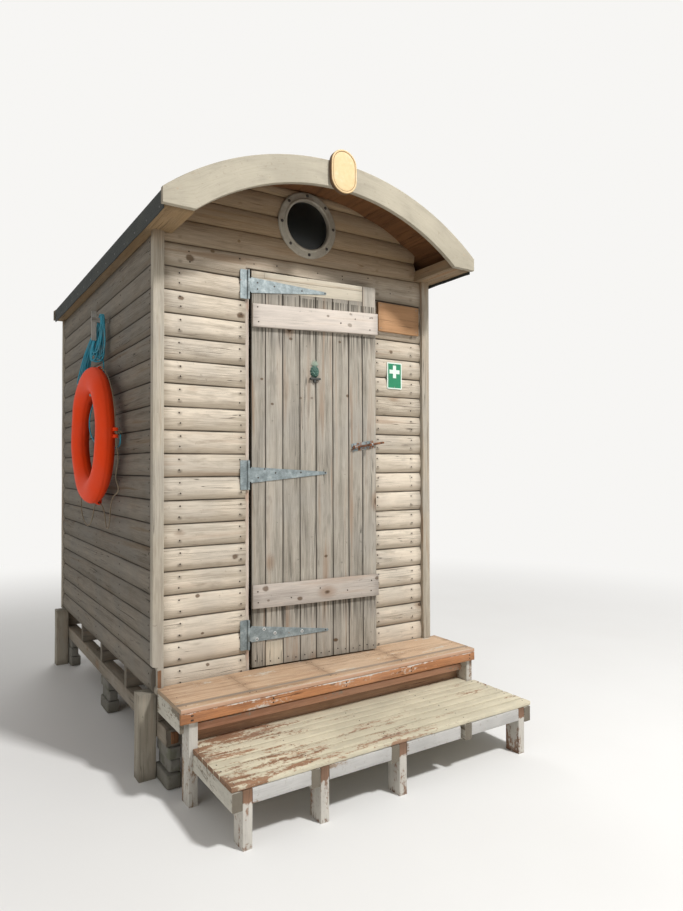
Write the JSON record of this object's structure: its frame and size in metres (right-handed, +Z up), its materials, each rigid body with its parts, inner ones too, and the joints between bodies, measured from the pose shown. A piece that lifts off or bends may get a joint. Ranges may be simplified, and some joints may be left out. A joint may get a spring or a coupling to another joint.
{
  "type": "beach hut",
  "caption": "Weathered timber beach hut with a barrel roof, arched end boards, a porthole over a ledged door on tee hinges, a landing with a step, and a lifebuoy on the side.",
  "frame": {"origin": "on the ground under the middle of the whole object", "axes": "+Z up, +Y towards the back wall, +X to the right of someone facing the door"},
  "size_m": [1.877, 3.025, 3.02],
  "materials": {
    "wall_timber": "weathered, bare",
    "trim_timber": "weathered, bare",
    "door_timber": "weathered grey, bare",
    "pale_timber": "newer, bare",
    "frame_timber": "sawn, bare",
    "landing_timber": "worn paint",
    "step_timber": "worn pale paint",
    "roof_timber": "sawn, bare",
    "roof_felt": "mineral felt",
    "stone": "rough",
    "galvanised": "dull zinc with rust",
    "rusty_steel": "rusted",
    "porthole_metal": "dull",
    "glass": "clear",
    "badge_plate": "matt",
    "knocker_metal": "worn green paint",
    "plaque": "painted pale",
    "sign_plastic": "matt green",
    "lifebuoy_shell": "matt",
    "blue_rope": "twisted polypropylene",
    "grab_rope": "braided, weathered"
  },
  "bodies": {
    "hut": {"ground_beams": "frame_timber", "stone_blocks": "stone", "corner_posts": "frame_timber", "floor_joists": "frame_timber", "floor": "frame_timber", "left_wall": "wall_timber", "right_wall": "wall_timber", "front_wall_left": "wall_timber", "front_wall_right": "wall_timber", "front_gable": "wall_timber", "back_wall": "wall_timber", "corner_trims": "trim_timber", "eaves_plates": "roof_timber", "roof_boards": "roof_timber", "roof_felt": "roof_felt", "barge_left": "trim_timber", "barge_right": "trim_timber", "back_barge": "trim_timber", "badge": "badge_plate", "porthole_rim": "porthole_metal", "porthole_glass": "glass", "door_jambs": "door_timber", "door_head": "door_timber", "hinge_plate_top": "galvanised", "hinge_plate_middle": "galvanised", "hinge_plate_bottom": "galvanised", "name_plaque": "plaque", "safety_sign": "sign_plastic", "landing_boards": "landing_timber", "landing_fascia": "landing_timber", "landing_side": "landing_timber", "landing_posts": "landing_timber", "landing_rail": "frame_timber", "riser_board": "landing_timber", "riser_rail": "landing_timber", "step_deck": "step_timber", "step_bearers": "landing_timber", "step_legs": "step_timber", "step_fascias": "step_timber", "step_rail": "frame_timber", "lifebuoy": "lifebuoy_shell", "ring_peg": "galvanised", "rope_hook": "galvanised", "grab_line": "grab_rope", "line_knot": "grab_rope", "rope_tail": "blue_rope", "rope_hank": "blue_rope"},
    "door": {"door_boards": "door_timber", "door_top_board": "pale_timber", "door_upper_ledge": "pale_timber", "door_lower_ledge": "door_timber", "hinge_strap_top": "galvanised", "hinge_strap_middle": "galvanised", "hinge_strap_bottom": "galvanised", "bolt_base": "rusty_steel", "knocker": "knocker_metal"},
    "bolt": {"bolt_bar": "rusty_steel"}
  },
  "joints": [
    {"name": "door_hinge", "type": "hinge", "parent": "hut", "child": "door", "pos_m": [-0.3105, -0.785, 1.415], "axis": [0, 0, -1], "range_deg": [-5, 100]},
    {"name": "bolt_slide", "type": "slide", "parent": "door", "child": "bolt", "axis": [-0.9839, 0.0861, -0.1564], "range_m": [0, 0.06]}
  ]
}
